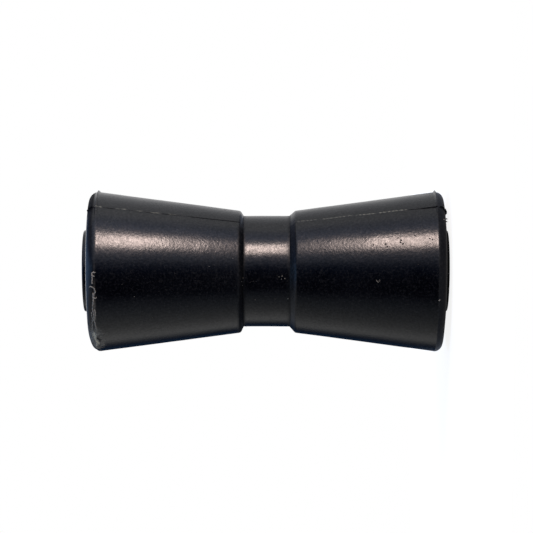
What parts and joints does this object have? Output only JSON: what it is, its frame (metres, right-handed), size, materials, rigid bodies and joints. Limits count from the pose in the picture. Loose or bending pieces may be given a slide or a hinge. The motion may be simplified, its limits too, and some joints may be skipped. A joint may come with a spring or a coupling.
{
  "type": "boat trailer keel roller",
  "caption": "Hourglass keel roller for a boat trailer, moulded in black rubber, with a hole for its shaft.",
  "frame": {"origin": "centre of the lower boss's tip, where the roller stands on end", "axes": "+Z along the shaft hole, from the standing end to the other; +X towards the highest point of the flash lip on each rim"},
  "size_m": [0.0901, 0.089, 0.203],
  "materials": {
    "moulded_rubber": "black moulded rubber with a satin skin, slightly mottled and scuffed at one rim"
  },
  "bodies": {
    "root": {"roller": "moulded_rubber"}
  },
  "joints": []
}
